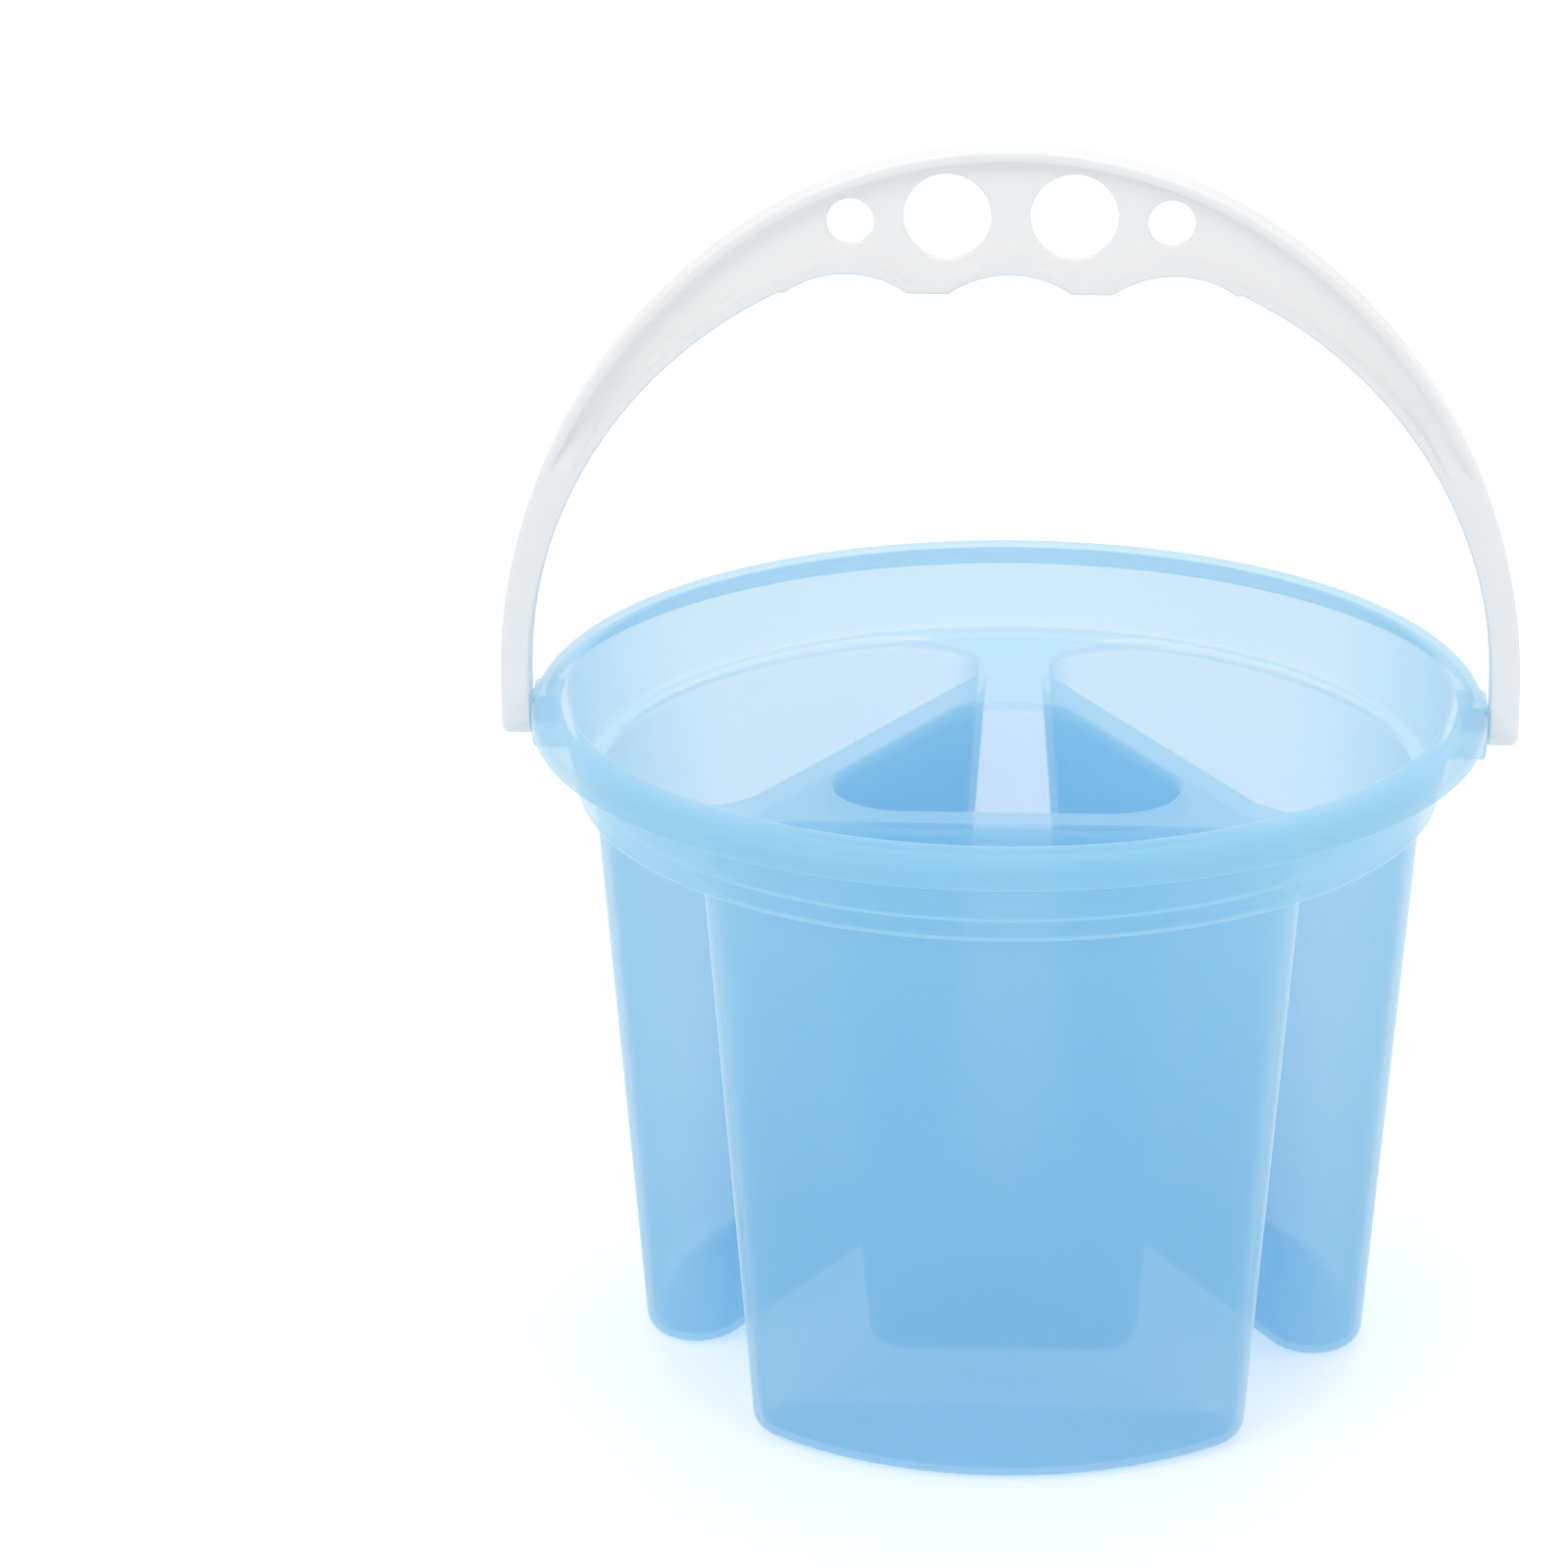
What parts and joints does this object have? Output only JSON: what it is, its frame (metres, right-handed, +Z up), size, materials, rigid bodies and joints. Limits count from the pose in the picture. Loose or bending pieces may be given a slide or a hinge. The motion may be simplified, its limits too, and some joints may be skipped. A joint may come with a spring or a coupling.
{
  "type": "brush washer",
  "caption": "Round brush washer with D-shaped outer wells around a rounded-triangle centre well, and a swinging scalloped handle with brush holes.",
  "frame": {"origin": "centre of the round body on the surface that the wells stand on", "axes": "+Z up, X along the handle's pivot axis, -Y towards the front well"},
  "size_m": [0.1812, 0.17, 0.223],
  "materials": {
    "washer": "frosted translucent pale blue polypropylene",
    "bail": "frosted translucent white polypropylene"
  },
  "bodies": {
    "washer": {"rim_collar": "washer", "deck": "washer", "front_well": "washer", "left_well": "washer", "right_well": "washer", "centre_well": "washer"},
    "bail": {"handle": "bail", "left_peg": "bail", "right_peg": "bail"}
  },
  "joints": [
    {"name": "bail_swing", "type": "hinge", "parent": "washer", "child": "bail", "pos_m": [0, 0, 0.119], "axis": [1, 0, 0], "range_deg": [-82, 82]}
  ]
}
